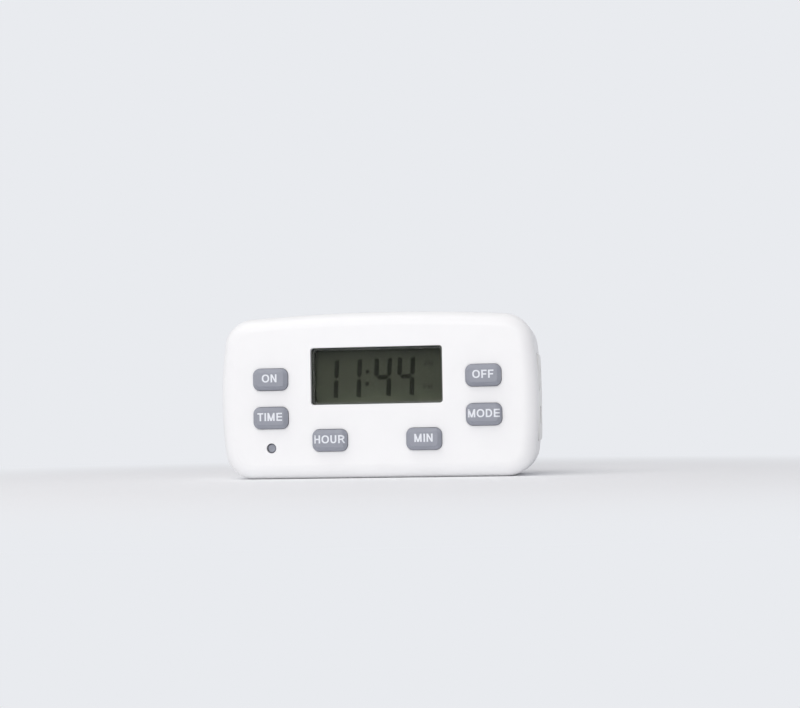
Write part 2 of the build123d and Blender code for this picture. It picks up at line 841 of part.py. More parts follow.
def resistors():
    """The resistors in a row along the top of the power board, waisted between their ends."""
    waist = Circle(resistor_radius) - Circle(resistor_radius - resistor_waist)
    body = Rot(0, 90, 0) * Cylinder(resistor_radius, resistor_length)
    body -= side_slab(waist, -resistor_waist_length / 2, resistor_waist_length / 2)
    places = [half_width * resistor_place + number * resistor_pitch for number in range(resistor_count)]
    return Part() + [Pos(x, power_front_y - resistor_radius, resistor_z) * body for x in places]


def plug_blade(x):
    """A flat plug blade on a foot that is riveted to its strip."""
    length = rear_y + blade_length - foot_back_y
    prong = Box(blade_thickness, length, blade_height)
    tip_corners = prong.edges().filter_by(Axis.X).group_by(Axis.Y)[-1]
    prong = fillet(tip_corners, blade_tip_rounding)
    tip = prong.faces().sort_by(Axis.Y)[-1].edges().filter_by(Axis.Z)
    prong = chamfer(tip, blade_tip_bevel)
    prong = Pos(0, foot_back_y + length / 2, 0) * prong
    hole = Rot(0, 90, 0) * Cylinder(blade_hole_radius, 2 * blade_thickness)
    prong -= Pos(0, rear_y + blade_length - blade_hole_inset, 0) * hole
    foot = slab(Rectangle(foot_size, foot_size), live_back_y, foot_back_y)
    stud = slab(Circle(rivet_radius), live_front_y, live_back_y)
    head = slab(Circle(rivet_head_radius), live_front_y - rivet_head_height, live_front_y)
    return Pos(x, 0, plug_z) * (prong + foot + stud + head)


def ground_pin():
    """The round ground pin, shouldered in the rear wall and riveted to its strip."""
    pin = slab(Circle(pin_radius), rear_y, rear_y + pin_length)
    pin = fillet(back_edges(pin), pin_tip_rounding)
    pin += slab(Circle(shoulder_radius), ground_back_y, rear_y)
    pin += slab(Circle(pin_neck_radius), ground_front_y, ground_back_y)
    pin += slab(Circle(pin_head_radius), ground_front_y - rivet_head_height, ground_front_y)
    return Pos(0, 0, ground_pin_z) * pin


def blade_clip(y):
    """The sprung clip at the right-hand end that grips a blade, open towards the outlet."""
    leaf = clip_gap / 2 + strip / 2
    mouth = leaf + clip_flare
    straight_x = clip_mouth_x - clip_flare_length
    points = [
        (clip_mouth_x, y + mouth),
        (straight_x, y + leaf),
        (web_x, y + leaf),
        (web_x, y - leaf),
        (straight_x, y - leaf),
        (clip_mouth_x, y - mouth),
    ]
    return bent_strip(points, outlet_z - clip_height / 2, outlet_z + clip_height / 2)


def live_bar(low_z, height):
    """The long straight of a live strip, between its two end bends."""
    reach = web_x - riser_width
    return block(-reach, reach, live_front_y, live_back_y, low_z, low_z + height)


def near_branch(low_z, height):
    """From the bar round to the clip on the outlet's front side, at the right-hand end."""
    bend_x = web_x - riser_width
    points = [(bend_x, live_y), (web_x, live_y), (web_x, near_y)]
    part = bent_strip(points, low_z, low_z + height)
    half = clip_gap / 2
    clip_low = outlet_z - clip_height / 2
    clip_high = outlet_z + clip_height / 2
    web_low = min(low_z, clip_low)
    web_high = max(low_z + height, clip_high)
    part += block(web_x - strip / 2, web_x + strip / 2, near_y - half, near_y + half, web_low, web_high)
    return part + blade_clip(near_y)


def far_branch(low_z, height):
    """From the bar to the clip on the outlet's wall side, at the right-hand end."""
    bend_x = web_x - riser_width
    clip_low = outlet_z - clip_height / 2
    clip_high = outlet_z + clip_height / 2
    riser_low = min(low_z, clip_low)
    riser_high = max(low_z + height, clip_high)
    part = block(bend_x, web_x, live_front_y, live_back_y, riser_low, riser_high)
    web_front_y = min(far_y, live_front_y)
    web_back_y = max(far_y, live_back_y)
    part += block(web_x - strip / 2, web_x + strip / 2, web_front_y, web_back_y, clip_low, clip_high)
    return part + blade_clip(far_y)


def blade_leg(x, low_z, high_z):
    """The part of a live strip that a blade is riveted to."""
    leg = block(x - leg_width / 2, x + leg_width / 2, live_front_y, live_back_y, low_z, high_z)
    return leg - slab(Circle(rivet_radius + screw_fit), live_front_y, live_back_y, x, plug_z)


def neutral_bus():
    """The neutral strip, from its blade to both outlets."""
    bar = live_bar(neutral_bar_z, neutral_bar_height)
    right = near_branch(neutral_bar_z, neutral_bar_height)
    left = mirror(far_branch(neutral_bar_z, neutral_bar_height), about=Plane.YZ)
    leg = blade_leg(-blade_spacing / 2, plug_z - foot_size / 2, neutral_bar_z)
    return bar + right + left + leg


def switched_bus():
    """The switched live strip, from the relay to both outlets."""
    bar = live_bar(switched_bar_z, switched_bar_height)
    right = far_branch(switched_bar_z, switched_bar_height)
    left = mirror(near_branch(switched_bar_z, switched_bar_height), about=Plane.YZ)
    tab_high = switched_bar_z + relay_tab_height
    tab = block(relay_x, relay_x + strip, power_back_y, live_front_y, switched_bar_z, tab_high)
    return bar + right + left + tab


def line_strip():
    """The strip from the live blade to the relay."""
    blade_x = blade_spacing / 2
    low_z = plug_z - foot_size / 2
    high_z = plug_z + foot_size / 2
    end_x = relay_x + relay_length / 2 - relay_wall
    leg = blade_leg(blade_x, low_z, high_z)
    arm_low = plug_z - relay_tab_height / 2
    arm_high = plug_z + relay_tab_height / 2
    arm = block(blade_x + leg_width / 2, end_x, live_front_y, live_back_y, arm_low, arm_high)
    tab = block(end_x - strip, end_x, power_back_y, live_front_y, arm_low, arm_high)
    return leg + arm + tab


def ground_branch():
    """The ground strip's right-hand end: round to the outlet and up to a split sleeve."""
    bend_x = web_x - riser_width
    points = [(bend_x, ground_y), (web_x, ground_y), (web_x, outlet_y)]
    part = bent_strip(points, ground_bar_z, ground_bar_z + ground_bar_height)
    half = ground_web_width / 2
    top = ground_z + ground_web_top
    part += block(web_x - strip / 2, web_x + strip / 2, outlet_y - half, outlet_y + half, ground_bar_z, top)
    sleeve = Circle(ground_clip_radius + ground_clip_wall) - Circle(ground_clip_radius)
    slit = Pos(0, ground_clip_radius) * Rectangle(ground_clip_slit, 2 * ground_clip_radius)
    return part + side_slab(sleeve - slit, web_x, block_inner_x - ground_clip_setback, outlet_y, ground_z)


def ground_bus():
    """The ground strip, from the pin to both outlets."""
    reach = web_x - riser_width
    bar_top = ground_bar_z + ground_bar_height
    bar = block(-reach, reach, ground_front_y, ground_back_y, ground_bar_z, bar_top)
    leg_top = ground_pin_z + pin_head_radius
    leg = block(-leg_width / 2, leg_width / 2, ground_front_y, ground_back_y, ground_bar_z, leg_top)
    leg -= slab(Circle(pin_neck_radius + screw_fit), ground_front_y, ground_back_y, 0, ground_pin_z)
    right = ground_branch()
    return bar + leg + right + mirror(right, about=Plane.YZ)


def cross_recess(head_radius, depth, y_top, towards_wall):
    """The cross cut in a screw head, sunk from y_top."""
    span = 2 * head_radius * recess_span
    cross = Rectangle(span, recess_width) + Rectangle(recess_width, span)
    if towards_wall:
        return slab(cross, y_top - depth, y_top)
    return slab(cross, y_top, y_top + depth)


def housing_screws():
    """The four screws that join the covers, put in from the wall side."""
    seat_y = rear_y - counterbore_depth
    top_y = seat_y + housing_head_height
    screw = slab(Circle(housing_head_radius), seat_y, top_y)
    screw += slab(Circle(housing_screw_radius), parting_y - housing_screw_reach, seat_y)
    screw -= cross_recess(housing_head_radius, housing_head_height / 2, top_y, True)
    return Part() + [Pos(x, 0, z) * screw for x, z in boss_places]


def board_screws():
    """The small screws that hold the two boards to their posts."""
    control = slab(Circle(board_head_radius), board_back_y, board_back_y + board_head_height)
    control += slab(Circle(board_screw_radius), board_front_y - board_screw_reach, board_back_y)
    control -= cross_recess(board_head_radius, board_head_height / 2, board_back_y + board_head_height, True)
    power = slab(Circle(board_head_radius), power_front_y - board_head_height, power_front_y)
    power += slab(Circle(board_screw_radius), power_front_y, power_back_y + board_screw_reach)
    power -= cross_recess(board_head_radius, board_head_height / 2, power_front_y - board_head_height, False)
    front_set = [Pos(x, 0, z) * control for x, z in post_places]
    rear_set = [Pos(x, 0, z) * power for x, z in power_post_places]
    return Part() + front_set + rear_set


right_block = right_outlet_block()
parts = {
    "front_cover": front_cover(),
    "rear_cover": rear_cover(),
    "right_outlet_block": right_block,
    "left_outlet_block": half_turn(right_block),
    "display_window": display_window(),
    "lcd_glass": lcd_glass(),
    "lcd_holder": lcd_holder(),
    "lcd_reflector": lcd_reflector(),
    "zebra_strips": zebra_strips(),
    "keypad_mat": keypad_mat(),
    "reset_key": reset_key(),
    "reset_switch": reset_switch(),
    "control_board": control_board(),
    "controller_chip": controller_chip(),
    "crystal": crystal(),
    "backup_cell": backup_cell(),
    "board_header": board_header(),
    "power_board": power_board(),
    "relay_base": relay_base(),
    "relay_cover": relay_cover(),
    "relay_bobbin": relay_bobbin(),
    "relay_winding": relay_winding(),
    "relay_core": relay_core(),
    "relay_yoke": relay_yoke(),
    "relay_armature": relay_armature(),
    "contact_spring": contact_spring(),
    "fixed_contact": fixed_contact(),
    "film_capacitor": film_capacitor(),
    "smoothing_capacitor": smoothing_capacitor(),
    "varistor": varistor(),
    "diodes": diodes(),
    "resistors": resistors(),
    "hot_blade": plug_blade(blade_spacing / 2),
    "neutral_blade": plug_blade(-blade_spacing / 2),
    "ground_pin": ground_pin(),
    "neutral_bus": neutral_bus(),
    "switched_bus": switched_bus(),
    "ground_bus": ground_bus(),
    "line_strip": line_strip(),
    "housing_screws": housing_screws(),
    "board_screws": board_screws(),
}
for name, (key_x, key_z) in key_places.items():
    parts[name + "_key"] = key_cap(key_x, key_z)
    parts[name + "_pill"] = key_pill(key_x, key_z)

os.makedirs("parts", exist_ok=True)
for name, part in parts.items():
    export_step(part, f"parts/{name}.step")
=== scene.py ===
# %% [markdown]
# A plug-in digital timer: a rounded white box with a grey-green display and six grey rubber keys.
# The solid pieces come finished in shape from the frame. This lesson gives them their surfaces,
# prints the words on the keys, lights the display's digits, and takes the portrait.

# %% Load the frame
import json
import math

import bmesh
import bpy
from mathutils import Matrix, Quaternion, Vector
from mathutils.bvhtree import BVHTree
from mathutils.geometry import delaunay_2d_cdt


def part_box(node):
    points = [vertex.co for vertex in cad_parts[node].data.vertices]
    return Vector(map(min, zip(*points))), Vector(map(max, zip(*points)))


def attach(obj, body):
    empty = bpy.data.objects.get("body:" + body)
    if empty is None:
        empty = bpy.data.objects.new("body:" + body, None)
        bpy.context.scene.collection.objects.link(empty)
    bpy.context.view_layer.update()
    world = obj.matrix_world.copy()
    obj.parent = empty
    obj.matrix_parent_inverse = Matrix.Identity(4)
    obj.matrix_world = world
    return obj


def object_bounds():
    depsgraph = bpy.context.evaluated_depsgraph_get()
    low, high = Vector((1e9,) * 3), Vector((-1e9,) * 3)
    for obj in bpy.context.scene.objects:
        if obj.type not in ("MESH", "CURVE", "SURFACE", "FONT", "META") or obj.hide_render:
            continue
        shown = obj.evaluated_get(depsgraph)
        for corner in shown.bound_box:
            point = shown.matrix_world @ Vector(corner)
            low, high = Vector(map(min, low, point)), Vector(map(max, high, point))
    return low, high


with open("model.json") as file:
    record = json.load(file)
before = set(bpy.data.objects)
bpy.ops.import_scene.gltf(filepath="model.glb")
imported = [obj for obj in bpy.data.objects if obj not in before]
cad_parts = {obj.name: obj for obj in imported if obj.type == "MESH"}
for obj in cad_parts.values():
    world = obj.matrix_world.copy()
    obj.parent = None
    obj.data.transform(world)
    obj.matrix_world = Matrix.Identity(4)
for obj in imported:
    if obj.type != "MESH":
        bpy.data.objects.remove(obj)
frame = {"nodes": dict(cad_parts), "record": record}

cad_low, cad_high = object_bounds()
MM = 0.001
timer_size = [round(side / MM, 1) for side in cad_high - cad_low]
print("The timer measures", timer_size, "mm over its plug and keys")

# %% [markdown]
# The photograph looks at the face from a little to the right, from about half a metre, with a short
# telephoto lens, and the timer leans slightly to the left in it. The camera could be placed by eye,
# but a few measured facts fix it: the picture's scale at the face and the pixel where the window's
# middle lies. Scale and lens together give the distance.

# %% What the photograph tells about its camera
PHOTO_WIDTH = 800
PHOTO_HEIGHT = 708
SENSOR_WIDTH_MM = 36.0
LENS_LENGTH_MM = 68.0
VIEW_FROM_RIGHT = math.radians(8.5)
VIEW_FROM_BELOW = math.radians(2.0)
PICTURE_LEAN = math.radians(0.95)
PIXELS_PER_MM = 3.133
WINDOW_PIXEL = (377.2, 375.4)

window_low, window_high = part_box("display_window")
window_middle = (window_low + window_high) / 2
focal_pixels = LENS_LENGTH_MM / SENSOR_WIDTH_MM * PHOTO_WIDTH
distance = focal_pixels / PIXELS_PER_MM * MM
print("The face is seen from", round(distance / MM), "mm away")

# %% [markdown]
# Two angles give the direction in which the camera stands, and the lean turns it about its own line
# of sight. A camera that is aimed straight at the window shows it in the middle of the picture. In
# the photograph the window lies a little to the left of that and below, so the aim is turned a bit
# further, until the window's middle lies on its own pixel.

# %% Stand the camera in front of the face
towards_camera = Vector((
    math.sin(VIEW_FROM_RIGHT) * math.cos(VIEW_FROM_BELOW),
    -math.cos(VIEW_FROM_RIGHT) * math.cos(VIEW_FROM_BELOW),
    -math.sin(VIEW_FROM_BELOW),
))
straight_aim = (-towards_camera).to_track_quat("-Z", "Y")
leaning_aim = straight_aim @ Quaternion((0, 0, 1), -PICTURE_LEAN)
pixel_ray = Vector((
    WINDOW_PIXEL[0] - PHOTO_WIDTH / 2,
    PHOTO_HEIGHT / 2 - WINDOW_PIXEL[1],
    -focal_pixels,
))
turn_to_pixel = pixel_ray.rotation_difference(Vector((0, 0, -1)))

lens = bpy.data.cameras.new("portrait_lens")
lens.sensor_width = SENSOR_WIDTH_MM
lens.lens = LENS_LENGTH_MM
camera = bpy.data.objects.new("portrait_camera", lens)
camera.location = window_middle + towards_camera * distance
camera.rotation_mode = "QUATERNION"
camera.rotation_quaternion = leaning_aim @ turn_to_pixel
bpy.context.scene.collection.objects.link(camera)
bpy.context.scene.camera = camera
bpy.context.scene.view_settings.view_transform = "Standard"
print("The camera stands", round(camera.location.z / MM, 1), "mm above the floor")

# %% [markdown]
# Colours are picked as sRGB hex values, the way a colour picker shows them, but the shaders work
# with linear light, so one function turns one into the other. A second small function adds a shader
# node: values are set on its sockets, and a socket of another node is linked. A socket goes by its
# name, or by its place, as where a node has several of one name.

# %% Helpers for colour and shader nodes
def linear(hex_colour):
    """An sRGB hex value as linear red, green, blue and full alpha."""
    channels = [int(hex_colour[start:start + 2], 16) / 255 for start in (1, 3, 5)]
    return [c / 12.92 if c <= 0.04045 else ((c + 0.055) / 1.055) ** 2.4 for c in channels] + [1.0]


def add(tree, kind, inputs=None, **settings):
    """Adds one node: settings are its properties, inputs are values or sockets to link."""
    node = tree.nodes.new(kind)
    for name, value in settings.items():
        setattr(node, name, value)
    for name, value in (inputs or {}).items():
        if isinstance(value, bpy.types.NodeSocket):
            tree.links.new(value, node.inputs[name])
        else:
            node.inputs[name].default_value = value
    return node


def new_finish(name):
    """An empty material with its output node."""
    finish = bpy.data.materials.new(name)
    finish.use_nodes = True
    tree = finish.node_tree
    tree.nodes.clear()
    return finish, tree, add(tree, "ShaderNodeOutputMaterial")


def per_metre(size_mm):
    """A pattern's scale from its real size in millimetres."""
    return 1 / (size_mm * MM)


print("Middle grey is", round(linear("#808080")[0], 3), "in linear light")

# %% [markdown]
# The portrait stands on pale paper. A real studio rolls the paper up behind the object so that no
# horizon shows. Here the floor is a disc that fades, away from the timer, into the very colour that
# the world shows the camera, so it needs no wall and looks the same from every side. Only camera
# rays see that colour: the light on the timer comes from soft lamps and a plain room. Under the
# lamps the paper comes out a little darker than its own colour, so that is a shade lighter than the
# backdrop's, and only the shadow is left to see. The paper lies a hair below the timer, because two
# faces in one plane flicker.

# %% Lay the paper floor
PAPER = "#E9EBEF"
LIT_PAPER = "#F9FAFC"
PAPER_RADIUS = 2.5
PAPER_CORNERS = 96
PAPER_DROP = 0.02 * MM
FADE_START = 0.11
FADE_END = 0.30


def paper_floor():
    """A round sheet of paper under the timer."""
    mesh = bpy.data.meshes.new("paper_floor")
    shape = bmesh.new()
    bmesh.ops.create_circle(shape, cap_ends=True, segments=PAPER_CORNERS, radius=PAPER_RADIUS)
    shape.to_mesh(mesh)
    shape.free()
    floor = bpy.data.objects.new("paper_floor", mesh)
    floor.location.z = -PAPER_DROP
    bpy.context.scene.collection.objects.link(floor)
    return floor


def paper_finish():
    """Matt uncoated paper: no shine, a clear shadow near the timer, then the plain room."""
    finish, tree, output = new_finish("matt_paper")
    place = add(tree, "ShaderNodeTexCoord")
    reach = add(tree, "ShaderNodeVectorMath", {0: place.outputs["Object"]}, operation="LENGTH")
    fade = add(tree, "ShaderNodeMapRange", {
        "Value": reach.outputs["Value"], "From Min": FADE_START, "From Max": FADE_END,
    }, interpolation_type="SMOOTHSTEP")
    rays = add(tree, "ShaderNodeLightPath")
    seen = add(tree, "ShaderNodeMath", {
        0: fade.outputs["Result"], 1: rays.outputs["Is Camera Ray"],
    }, operation="MULTIPLY")
    lit = add(tree, "ShaderNodeBsdfPrincipled", {
        "Base Color": linear(LIT_PAPER), "Roughness": 0.9, "IOR": 1.45,
    })
    plain = add(tree, "ShaderNodeEmission", {"Color": linear(PAPER), "Strength": 1.0})
    blend = add(tree, "ShaderNodeMixShader", {
        0: seen.outputs[0], 1: lit.outputs[0], 2: plain.outputs[0],
    })
    tree.links.new(blend.outputs[0], output.inputs["Surface"])
    return finish


floor = paper_floor()
floor.data.materials.append(paper_finish())
print("The paper fades from", round(FADE_START / MM), "to", round(FADE_END / MM), "mm out")

# %% [markdown]
# A white box needs large soft lamps, so that its roundings shade off gently. One softbox hangs above
# and to the left, and one stands in front. One sun lamp would be simpler, but it draws harder
# shadows. The plain room adds the rest from all sides. The lamps are faintly warm and the room
# faintly cool, so that lit and shaded white differ in more than brightness. Both lamps are kept weak
# enough that the face's upper rounding, the brightest place, hardly turns full white. The camera,
# glossy surfaces and clear ones all see the paper's tone behind the timer, not the room's.

# %% Hang the lamps and set the world
WORLD_LIGHT = 0.45
LAMPS = {
    "overhead_softbox": {"place": (-0.38, -0.50, 1.05), "width": 1.0, "power": 5.5},
    "front_softbox": {"place": (-0.10, -1.40, 0.50), "width": 0.8, "power": 5.5},
}
LAMP_TARGET = Vector((0, 0, 0.02))
LAMP_WHITE = "#FFFDFA"
ROOM_WHITE = "#FAFAFF"

for name, facts in LAMPS.items():
    light = bpy.data.lights.new(name, "AREA")
    light.shape = "SQUARE"
    light.size = facts["width"]
    light.energy = facts["power"]
    light.color = linear(LAMP_WHITE)[:3]
    lamp = bpy.data.objects.new(name, light)
    lamp.location = facts["place"]
    lamp.rotation_euler = (LAMP_TARGET - lamp.location).to_track_quat("-Z", "Y").to_euler()
    bpy.context.scene.collection.objects.link(lamp)

world = bpy.data.worlds.new("studio_world")
world.use_nodes = True
sky = world.node_tree
sky.nodes.clear()
rays = add(sky, "ShaderNodeLightPath")
shown = add(sky, "ShaderNodeMath", {
    0: rays.outputs["Is Camera Ray"], 1: rays.outputs["Is Glossy Ray"],
}, operation="MAXIMUM")
shown = add(sky, "ShaderNodeMath", {
    0: shown.outputs[0], 1: rays.outputs["Is Transmission Ray"],
}, operation="MAXIMUM")
room = add(sky, "ShaderNodeBackground", {"Color": linear(ROOM_WHITE), "Strength": WORLD_LIGHT})
backdrop = add(sky, "ShaderNodeBackground", {"Color": linear(PAPER), "Strength": 1.0})
both = add(sky, "ShaderNodeMixShader", {
    0: shown.outputs[0], 1: room.outputs[0], 2: backdrop.outputs[0],
})
add(sky, "ShaderNodeOutputWorld", {"Surface": both.outputs[0]})
bpy.context.scene.world = world
print("Lit by", ", ".join(LAMPS))

# %% [markdown]
# Most of the timer is moulded plastic or rubber. The steel mould was spark-eroded, which leaves
# a grain of a tenth of a millimetre or so: it softens reflections and breaks them up a little. A
# single colour with one roughness would look like paint, so each moulded finish has a faint mottle
# in colour and roughness, and a fine bump. The grain is drawn two to four times coarser than life,
# so that it shows at all. The node that mixes the two colours has them under the same names as its
# plain numbers, so their sockets go by place.

# %% A moulded surface
FIRST_COLOUR, SECOND_COLOUR = 6, 7
MIXED_COLOUR = 2
GLOSS_SPREAD = 0.04
MOTTLE_DETAIL = 3.0
GRAIN_DETAIL = 2.0


def moulded(name, colour, shade, roughness, grain_mm, grain_depth_mm, ior=1.53, mottle_mm=6.0):
    """A moulded finish: faint mottle between two colours, uneven gloss and a fine grain."""
    finish, tree, output = new_finish(name)
    where = add(tree, "ShaderNodeTexCoord").outputs["Object"]
    mottle = add(tree, "ShaderNodeTexNoise", {
        "Vector": where, "Scale": per_metre(mottle_mm), "Detail": MOTTLE_DETAIL,
    })
    tone = add(tree, "ShaderNodeMix", {
        "Factor": mottle.outputs["Fac"], FIRST_COLOUR: linear(colour), SECOND_COLOUR: linear(shade),
    }, data_type="RGBA")
    gloss = add(tree, "ShaderNodeMapRange", {
        "Value": mottle.outputs["Fac"],
        "To Min": roughness - GLOSS_SPREAD, "To Max": roughness + GLOSS_SPREAD,
    })
    grain = add(tree, "ShaderNodeTexNoise", {
        "Vector": where, "Scale": per_metre(grain_mm), "Detail": GRAIN_DETAIL,
    })
    bump = add(tree, "ShaderNodeBump", {
        "Height": grain.outputs["Fac"], "Strength": 1.0, "Distance": grain_depth_mm * MM,
    })
    shader = add(tree, "ShaderNodeBsdfPrincipled", {
        "Base Color": tone.outputs[MIXED_COLOUR], "Roughness": gloss.outputs["Result"],
        "Normal": bump.outputs["Normal"], "IOR": ior,
    })
    tree.links.new(shader.outputs[0], output.inputs["Surface"])
    return finish


print("Moulded gloss varies by", GLOSS_SPREAD, "either way")

# %% [markdown]
# Fourteen kinds of plastic, rubber, resin and lacquer are formed in a mould, poured, dipped or
# shrunk on. They differ in colour, in how rough the tool or the liquid left them, and in how large
# the unevenness is: a tenth of a millimetre off a tool, a millimetre where a liquid has set. Each
# row gives its two tones, its roughness, and its grain and the depth of it in millimetres. The IOR
# and the size of the mottle follow where they aren't the usual ones.

# %% Plastics and rubbers
moulded_finishes = {
    # ABS off an eroded tool: bright white with a soft, even sheen and nothing mirrored in it.
    "housing_abs": moulded("white_abs_spark_grain", "#F9F9FA", "#F6F6F7", 0.38, 0.35, 0.004),
    # Nylon off a smoother tool: a touch warmer and silkier than the housing round it.
    "outlet_nylon": moulded("white_nylon_satin", "#F3F3F1", "#EFEFED", 0.34, 0.40, 0.003, 1.50),
    # Moulded silicone: cool grey and matt, with light only along its rounded ridges.
    "key_rubber": moulded(
        "grey_silicone_matt", "#9C9FA9", "#9396A1", 0.42, 0.30, 0.006, 1.41, 2.5,
    ),
    # Dark polystyrene: a dull rim that keeps stray light away from the glass.
    "holder_black": moulded(
        "dark_polystyrene_satin", "#3F413B", "#383A35", 0.40, 0.40, 0.003, 1.59,
    ),
    # Nylon without pigment: milky and warm.
    "spool_nylon": moulded("natural_nylon_moulded", "#E4E0D4", "#DAD6CA", 0.36, 0.40, 0.004, 1.53),
    # Layered silicone, cut with a blade: dusty pink and quite dull.
    "connector_rubber": moulded(
        "pink_zebra_rubber", "#C98F8C", "#B97F7D", 0.60, 0.25, 0.010, 1.41, 1.0,
    ),
    # Rubber full of carbon: nearly black, and it swallows the light.
    "contact_carbon": moulded(
        "black_carbon_rubber", "#1D1D1F", "#111112", 0.65, 0.20, 0.008, 1.45, 1.0,
    ),
    # Epoxy poured over the chip, and the glossy plastic of the header: both look wet and black.
    "black_resin": moulded("black_epoxy_poured", "#121214", "#1A1A1C", 0.18, 1.20, 0.010, 1.55),
    # Moulded polyester: clean blue with a low sheen.
    "relay_plastic": moulded("blue_polyester_moulded", "#2E63B5", "#2858A4", 0.36, 0.40, 0.004, 1.57),
    # Moulded polyester again, in the yellow of such capacitors.
    "film_box": moulded("yellow_polyester_box", "#D9B44A", "#CDA740", 0.34, 0.40, 0.004, 1.57),
    # PVC shrunk onto a can: a tight dark skin with long, slightly wavy highlights.
    "can_sleeve": moulded("black_pvc_sleeve", "#1E2230", "#191C28", 0.28, 1.50, 0.010, 1.54),
    # Dipped epoxy: glossy, with the slow waves of a coat that ran before it set.
    "varistor_coat": moulded("blue_epoxy_dipped", "#2D5AA6", "#274F93", 0.24, 1.00, 0.015, 1.55),
    # Filled epoxy off a tool: dull black, greyer where the light grazes it.
    "diode_epoxy": moulded("black_epoxy_moulded", "#1A1A1B", "#222223", 0.45, 0.30, 0.004, 1.55),
    # Dipped lacquer: beige under a thin gloss.
    "resistor_coat": moulded("beige_lacquer_dipped", "#D8C39A", "#CCB68B", 0.32, 0.80, 0.008, 1.50),
}
print(len(moulded_finishes), "moulded, poured and dipped finishes")

# %% [markdown]
# The metal pieces are brass, copper, zinc-plated steel, soft iron and foil. Strip brass has fine
# lines from rolling, all one way, which stretch its highlights across them. An anisotropic shader
# would stretch the highlights too but show no lines, so here the lines are noise that is drawn out
# along the rolling direction. Real ones are a few hundredths of a millimetre apart. Here they are
# about four times coarser, so that they show. Metals keep the default IOR, because their colour does
# that work.

# %% A rolled, drawn or plated surface
ROLLING_LINE_MM = 0.12
ROLLING_STRETCH = 0.04
LINE_DETAIL = 2.0
TARNISH_MM = 4.0
TARNISH_DETAIL = 4.0
SMOOTHER = 0.06
ROUGHER = 0.08


def rolled_metal(name, colour, tarnish, roughness, stretch_axis="Y", line_depth_mm=0.002):
    """A metal with fine lines along one axis and a breath of tarnish."""
    finish, tree, output = new_finish(name)
    where = add(tree, "ShaderNodeTexCoord").outputs["Object"]
    squeeze = [ROLLING_STRETCH if axis == stretch_axis else 1.0 for axis in "XYZ"]
    along = add(tree, "ShaderNodeMapping", {"Vector": where, "Scale": squeeze})
    lines = add(tree, "ShaderNodeTexNoise", {
        "Vector": along.outputs["Vector"], "Scale": per_metre(ROLLING_LINE_MM),
        "Detail": LINE_DETAIL,
    })
    cloud = add(tree, "ShaderNodeTexNoise", {
        "Vector": where, "Scale": per_metre(TARNISH_MM), "Detail": TARNISH_DETAIL,
    })
    tone = add(tree, "ShaderNodeMix", {
        "Factor": cloud.outputs["Fac"], FIRST_COLOUR: linear(colour), SECOND_COLOUR: linear(tarnish),
    }, data_type="RGBA")
    gloss = add(tree, "ShaderNodeMapRange", {
        "Value": lines.outputs["Fac"],
        "To Min": roughness - SMOOTHER, "To Max": roughness + ROUGHER,
    })
    bump = add(tree, "ShaderNodeBump", {
        "Height": lines.outputs["Fac"], "Strength": 1.0, "Distance": line_depth_mm * MM,
    })
    shader = add(tree, "ShaderNodeBsdfPrincipled", {
        "Base Color": tone.outputs[MIXED_COLOUR], "Metallic": 1.0,
        "Roughness": gloss.outputs["Result"], "Normal": bump.outputs["Normal"],
    })
    tree.links.new(shader.outputs[0], output.inputs["Surface"])
    return finish


print("Rolling lines are", ROLLING_LINE_MM, "mm apart and", round(1 / ROLLING_STRETCH), "times as long")

# %% [markdown]
# Each metal has its own colour and, where air has been at it, a slightly browner or greyer second
# one. The axis is the one that its lines run along.

# %% Brass, copper, steel, iron and foil
metal_finishes = {
    # Polished brass: a clear, warm shine, with faint lines along the blades.
    "plug_brass": rolled_metal("plug_brass_polished", "#E3C88A", "#D3B674", 0.24),
    # Brass as it leaves the rolls: deeper in colour, with a streaked shine.
    "contact_brass": rolled_metal("strip_brass_rolled", "#DDBE79", "#C9A862", 0.32, "X"),
    # Enamelled copper wire, wound close: red-brown and finely ribbed.
    "copper_wire": rolled_metal("enamelled_copper_wound", "#C8743F", "#B56535", 0.30, "X", 0.010),
    # Zinc on steel: pale, cool grey with a little milkiness.
    "plated_steel": rolled_metal("zinc_plated_steel", "#C9CCD0", "#B9BCC2", 0.30, "Z"),
    # Iron with a thin flash of nickel: darker and duller than the screws.
    "soft_iron": rolled_metal("nickel_flashed_iron", "#A9A8A4", "#98968F", 0.36, "Z"),
    # Matt foil: even, silvery, with no image in it.
    "reflector_foil": rolled_metal("aluminium_foil_matt", "#D8DADB", "#CDCFD1", 0.45, "X"),
}
print(len(metal_finishes), "metal finishes")

# %% [markdown]
# A circuit board is glass cloth in epoxy, under a green lacquer that lies higher over the copper
# tracks. Tracks could be hundreds of thin strips of mesh. Here they are a pattern in the material:
# the brick texture's long low bricks are the tracks, half a millimetre wide at the pitch of a chip's
# legs, and its wide mortar is the bare board between them, a few hundredths lower and a little
# darker. Rows are staggered, and every third has longer tracks, so that they don't look like a wall.
# To the eye that gives a glossy green with fine light lines.

# %% Green circuit board
TRACK_LENGTH_MM = 13.0
TRACK_PITCH_MM = 1.27
TRACK_EDGE_MM = 0.38
TRACK_STAGGER = 0.37
LONGER_TRACKS = 1.8
LONGER_EVERY = 3
LACQUER_STEP_MM = 0.03


